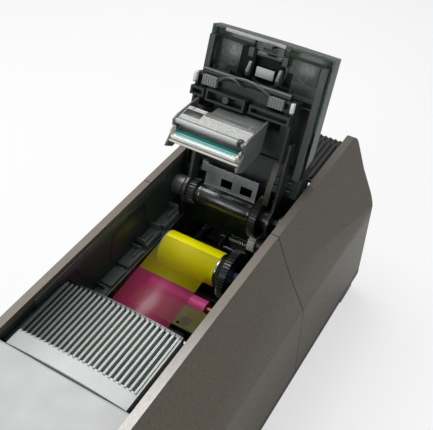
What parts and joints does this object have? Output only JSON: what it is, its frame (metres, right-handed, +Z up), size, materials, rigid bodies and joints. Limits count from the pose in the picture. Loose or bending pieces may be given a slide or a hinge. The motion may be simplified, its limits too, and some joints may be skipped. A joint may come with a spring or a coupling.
{
  "type": "id card printer",
  "caption": "Long desktop plastic card printer with faceted side walls, ribbed covers and an open hinged lid that carries the print head over a colour ribbon.",
  "frame": {"origin": "centre of the footprint, on the surface the rubber feet stand on", "axes": "+Z up, +Y towards the rear panel, +X to the right seen from the front"},
  "size_m": [0.206, 0.436, 0.3255],
  "materials": {
    "dark_plastic": "fine-textured black moulded plastic",
    "rubber": "matt rubber",
    "bronze_paint": "satin bronze paint with a faint fleck",
    "grey_plastic": "satin grey moulded plastic",
    "steel_sheet": "brushed zinc-plated sheet",
    "light_plastic": "fine-textured light grey plastic",
    "gloss_black": "glossy black plastic",
    "spring_steel": "bright drawn steel",
    "gear_black": "satin black acetal",
    "motor_steel": "dull plated steel",
    "grey_metal": "satin grey metal",
    "board_green": "green circuit board",
    "ribbon_film": "glossy dye film in yellow and magenta panels",
    "ribbon_roll": "glossy wound yellow film",
    "core_blue": "pale blue moulded core",
    "gear_white": "natural white acetal",
    "gear_brass": "machined brass",
    "smoke_plastic": "smoky green see-through plastic",
    "cast_metal": "blasted cast aluminium",
    "ceramic": "white glazed ceramic with a teal line",
    "button_plastic": "translucent blue-grey plastic"
  },
  "bodies": {
    "root": {"base_tray": "dark_plastic", "rubber_feet": "rubber", "side_panel_left_front": "bronze_paint", "side_panel_left_rear": "bronze_paint", "side_panel_right_front": "bronze_paint", "side_panel_right_rear": "bronze_paint", "wall_liners": "dark_plastic", "ledges": "grey_plastic", "chassis_plate_left": "steel_sheet", "chassis_plate_right": "steel_sheet", "front_bridge": "dark_plastic", "ribbed_cover": "light_plastic", "rear_vent_cover": "gloss_black", "rear_panel": "dark_plastic", "power_inlet": "dark_plastic", "data_ports": "steel_sheet", "front_bezel": "light_plastic", "card_hopper": "dark_plastic", "card_strips": "steel_sheet", "cross_bars": "dark_plastic", "spring_bracket": "steel_sheet", "rod_springs": "spring_steel", "toothed_rack": "gear_black", "drive_motors": "motor_steel", "rotary_damper": "dark_plastic", "hinge_shaft": "spring_steel", "pivot_caps": "grey_metal", "main_board": "board_green", "power_supply": "motor_steel", "ribbon_film": "ribbon_film"},
    "lid": {"lid_shell": "smoke_plastic", "lid_frame": "grey_plastic", "lid_arms": "steel_sheet", "pivot_barrel": "grey_metal", "hinge_gear": "gear_black", "toothed_ring": "gear_black", "carriage_frame": "dark_plastic", "carriage_trim": "grey_metal"},
    "head": {"heat_sink": "cast_metal", "ceramic_head": "ceramic", "head_fittings": "grey_metal"},
    "latch": {"latch": "grey_metal"},
    "supply": {"supply_film_roll": "ribbon_roll", "supply_core": "core_blue", "supply_gear": "gear_black"},
    "takeup": {"takeup_spool": "core_blue", "takeup_gear": "gear_black"},
    "platen": {"platen_roller": "rubber", "platen_axle": "spring_steel"},
    "feed": {"feed_roller": "rubber", "feed_axle": "spring_steel"},
    "idler": {"idler_gear": "gear_white"},
    "drive": {"motor_pinion": "gear_brass"},
    "ribbon_idler": {"ribbon_idler": "gear_white"},
    "ribbon_drive": {"ribbon_pinion": "gear_brass"},
    "damper": {"damper_pinion": "gear_white"},
    "picker": {"pick_roller": "rubber"},
    "hopper_lid": {"hopper_cover": "light_plastic"},
    "tray": {"output_tray": "light_plastic"},
    "button": {"power_button": "button_plastic"}
  },
  "joints": [
    {"name": "lid_hinge", "type": "hinge", "parent": "root", "child": "lid", "pos_m": [0, 0.088, 0.1815], "axis": [1, 0, 0], "range_deg": [0, 112], "deforming": ["ribbon_film"]},
    {"name": "head_float", "type": "slide", "parent": "lid", "child": "head", "axis": [0, 0.9272, -0.3746], "range_m": [0, 0.002], "stiffness_N_per_m": 3000, "springref_m": -0.002},
    {"name": "latch_pivot", "type": "hinge", "parent": "lid", "child": "latch", "pos_m": [0, 0.14934, 0.31062], "axis": [1, 0, 0], "range_deg": [0, 20], "stiffness_Nm_per_rad": 0.05, "springref_deg": -17.19},
    {"name": "supply_spin", "type": "hinge", "parent": "root", "child": "supply", "pos_m": [0, 0.042, 0.142], "axis": [1, 0, 0], "continuous": true},
    {"name": "takeup_spin", "type": "hinge", "parent": "root", "child": "takeup", "pos_m": [0, -0.102, 0.139], "axis": [1, 0, 0], "continuous": true},
    {"name": "platen_spin", "type": "hinge", "parent": "root", "child": "platen", "pos_m": [0, 0.016, 0.112], "axis": [1, 0, 0], "continuous": true},
    {"name": "feed_spin", "type": "hinge", "parent": "root", "child": "feed", "pos_m": [0, -0.029, 0.112], "axis": [1, 0, 0], "continuous": true},
    {"name": "idler_spin", "type": "hinge", "parent": "root", "child": "idler", "pos_m": [0, -0.0065, 0.112], "axis": [1, 0, 0], "continuous": true},
    {"name": "drive_spin", "type": "hinge", "parent": "root", "child": "drive", "pos_m": [0, -0.0065, 0.0955], "axis": [1, 0, 0], "continuous": true},
    {"name": "ribbon_idler_spin", "type": "hinge", "parent": "root", "child": "ribbon_idler", "pos_m": [0, 0.0585, 0.11342], "axis": [1, 0, 0], "continuous": true},
    {"name": "ribbon_drive_spin", "type": "hinge", "parent": "root", "child": "ribbon_drive", "pos_m": [0, -0.102, 0.114], "axis": [1, 0, 0], "continuous": true},
    {"name": "damper_spin", "type": "hinge", "parent": "root", "child": "damper", "pos_m": [0, 0.07842, 0.15519], "axis": [1, 0, 0], "range_deg": [-285, 5]},
    {"name": "pick_spin", "type": "hinge", "parent": "root", "child": "picker", "pos_m": [0, -0.15, 0.112], "axis": [1, 0, 0], "continuous": true},
    {"name": "hopper_hinge", "type": "hinge", "parent": "root", "child": "hopper_lid", "pos_m": [0, -0.155, 0.2015], "axis": [1, 0, 0], "range_deg": [-75, 0]},
    {"name": "tray_slide", "type": "slide", "parent": "root", "child": "tray", "axis": [0, -1, 0], "range_m": [0, 0.065]},
    {"name": "button_press", "type": "slide", "parent": "root", "child": "button", "axis": [0, 1, 0], "range_m": [0, 0.0015], "stiffness_N_per_m": 800, "springref_m": -0.001}
  ],
  "couplings": [
    {"joint": "feed_spin", "follows": "platen_spin", "ratio": 1},
    {"joint": "idler_spin", "follows": "platen_spin", "ratio": -1.1429},
    {"joint": "drive_spin", "follows": "platen_spin", "ratio": 2},
    {"joint": "ribbon_idler_spin", "follows": "supply_spin", "ratio": -2.6667},
    {"joint": "ribbon_drive_spin", "follows": "takeup_spin", "ratio": -2.5714},
    {"joint": "damper_spin", "follows": "lid_hinge", "ratio": -2.5}
  ]
}
